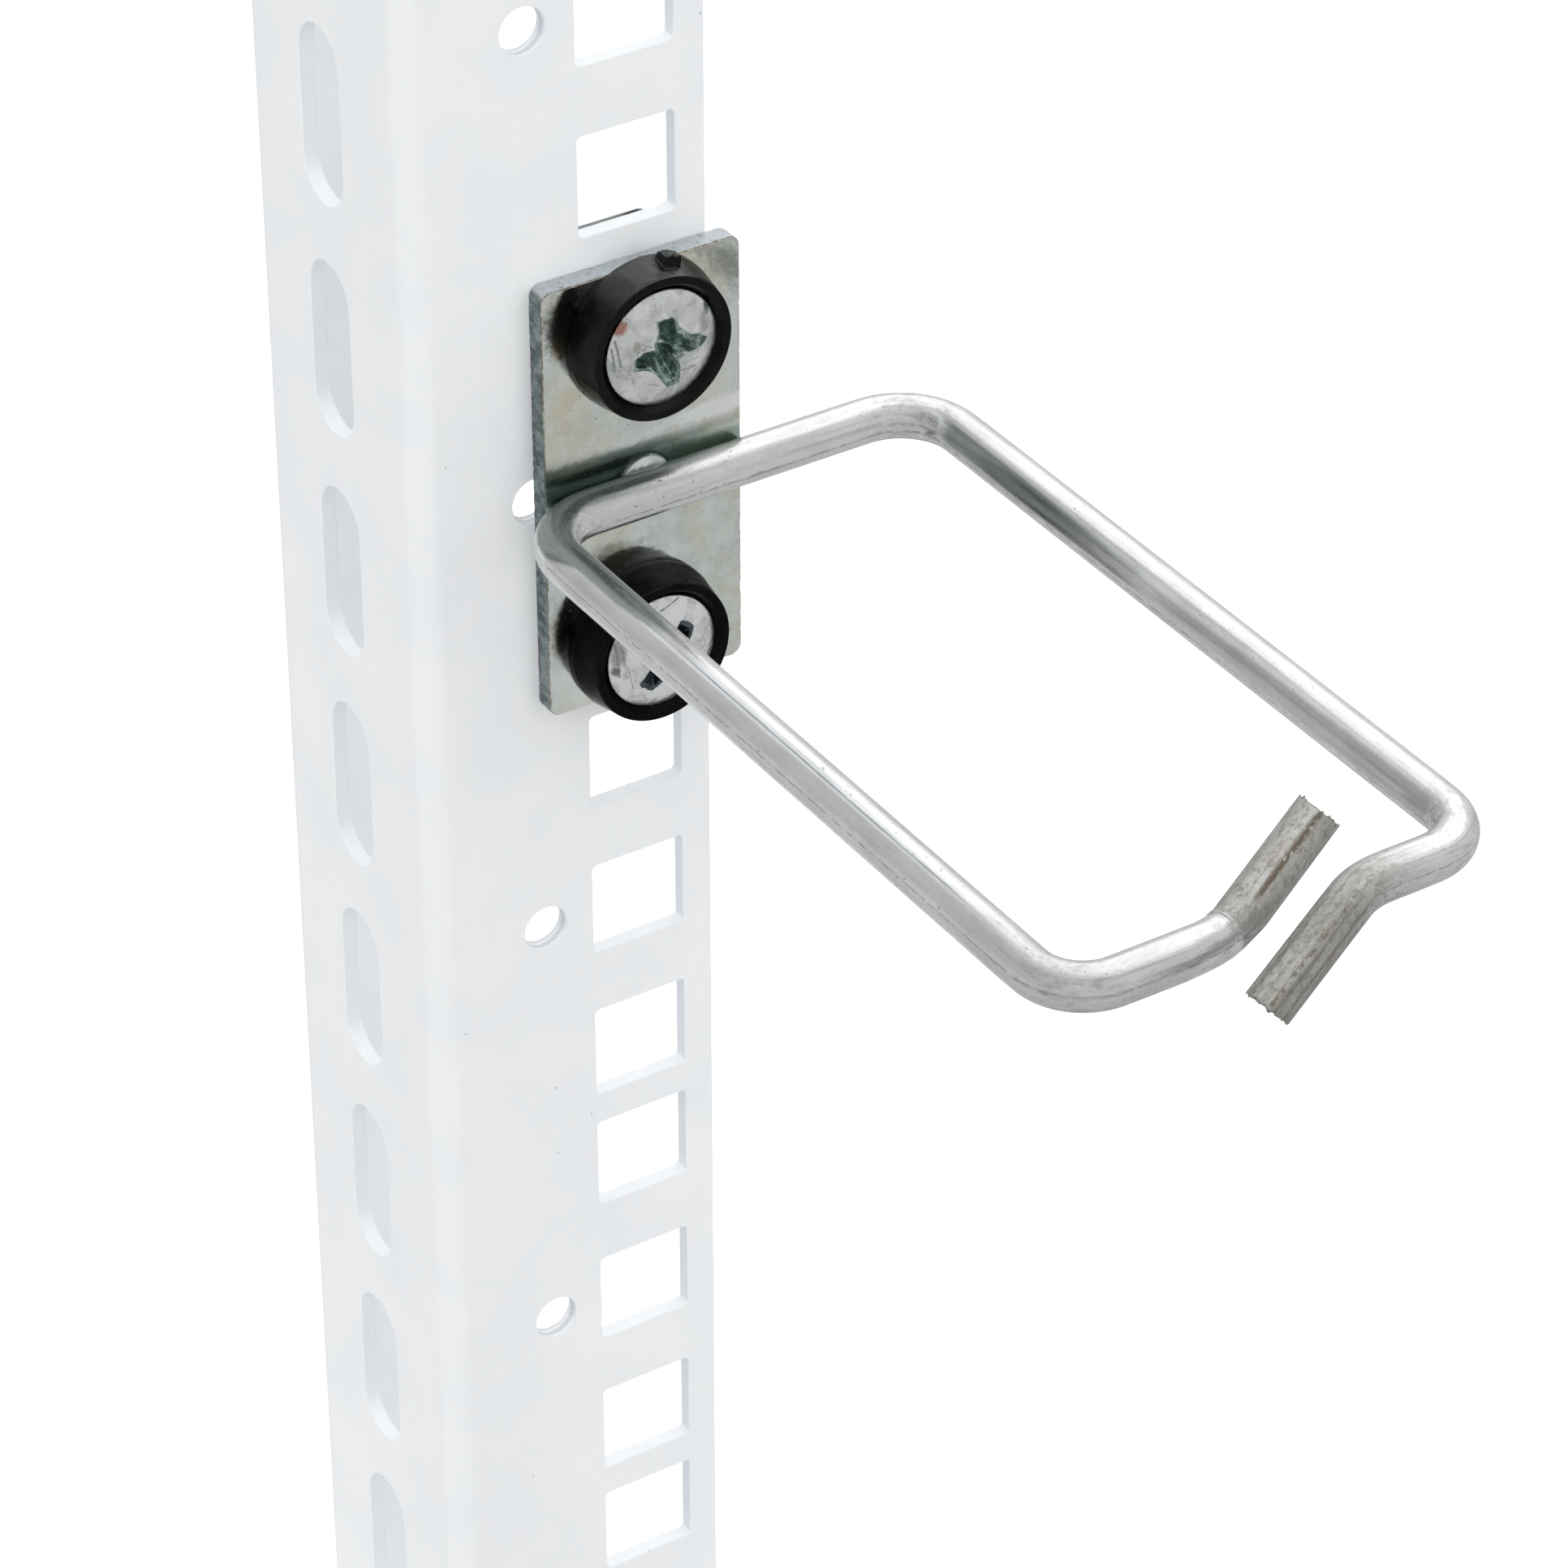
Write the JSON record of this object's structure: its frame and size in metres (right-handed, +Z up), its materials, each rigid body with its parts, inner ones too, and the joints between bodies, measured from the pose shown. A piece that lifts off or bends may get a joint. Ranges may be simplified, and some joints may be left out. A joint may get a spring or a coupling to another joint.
{
  "type": "rack mounting rail with cable ring",
  "caption": "Folded steel rack mounting rail with square holes and web slots, carrying a screwed-on open wire ring that guides cables.",
  "frame": {"origin": "centre of the square rack hole behind the middle of the ring's plate, on the rail's front face", "axes": "+Z up along the rail, +X across the front face away from the side web, -Y out of the front face along the ring"},
  "size_m": [0.05, 0.1207, 0.2667],
  "materials": {
    "rail_paint": "matt light-grey powder coat",
    "zinc_sheet": "zinc-plated sheet, dulled and stained",
    "zinc_wire": "zinc-plated drawn wire",
    "screw_zinc": "bright zinc-plated steel",
    "black_plastic": "moulded black plastic, glossy",
    "spring_steel": "zinc-plated spring steel"
  },
  "bodies": {
    "rail": {"mounting_rail": "rail_paint", "ring_plate": "zinc_sheet", "wire_ring": "zinc_wire", "ring_weld": "zinc_sheet", "upper_cage": "spring_steel", "lower_cage": "spring_steel", "upper_nut": "screw_zinc", "lower_nut": "screw_zinc"},
    "upper_washer": {"upper_cup_washer": "black_plastic"},
    "upper_fastener": {"upper_screw": "screw_zinc"},
    "lower_washer": {"lower_cup_washer": "black_plastic"},
    "lower_fastener": {"lower_screw": "screw_zinc"}
  },
  "joints": [
    {"name": "upper_screw_travel", "type": "slide", "parent": "rail", "child": "upper_washer", "axis": [0, -1, 0], "range_m": [0, 0.008]},
    {"name": "upper_screw_turn", "type": "hinge", "parent": "upper_washer", "child": "upper_fastener", "pos_m": [0, 0, 0.01455], "axis": [0, -1, 0], "range_deg": [0, 2881]},
    {"name": "lower_screw_travel", "type": "slide", "parent": "rail", "child": "lower_washer", "axis": [0, -1, 0], "range_m": [0, 0.008]},
    {"name": "lower_screw_turn", "type": "hinge", "parent": "lower_washer", "child": "lower_fastener", "pos_m": [-0.0004, 0, -0.0155], "axis": [0, -1, 0], "range_deg": [0, 2881]}
  ],
  "couplings": [
    {"joint": "upper_screw_turn", "follows": "upper_screw_travel", "rad_per_m": 6283.2},
    {"joint": "lower_screw_turn", "follows": "lower_screw_travel", "rad_per_m": 6283.2}
  ]
}
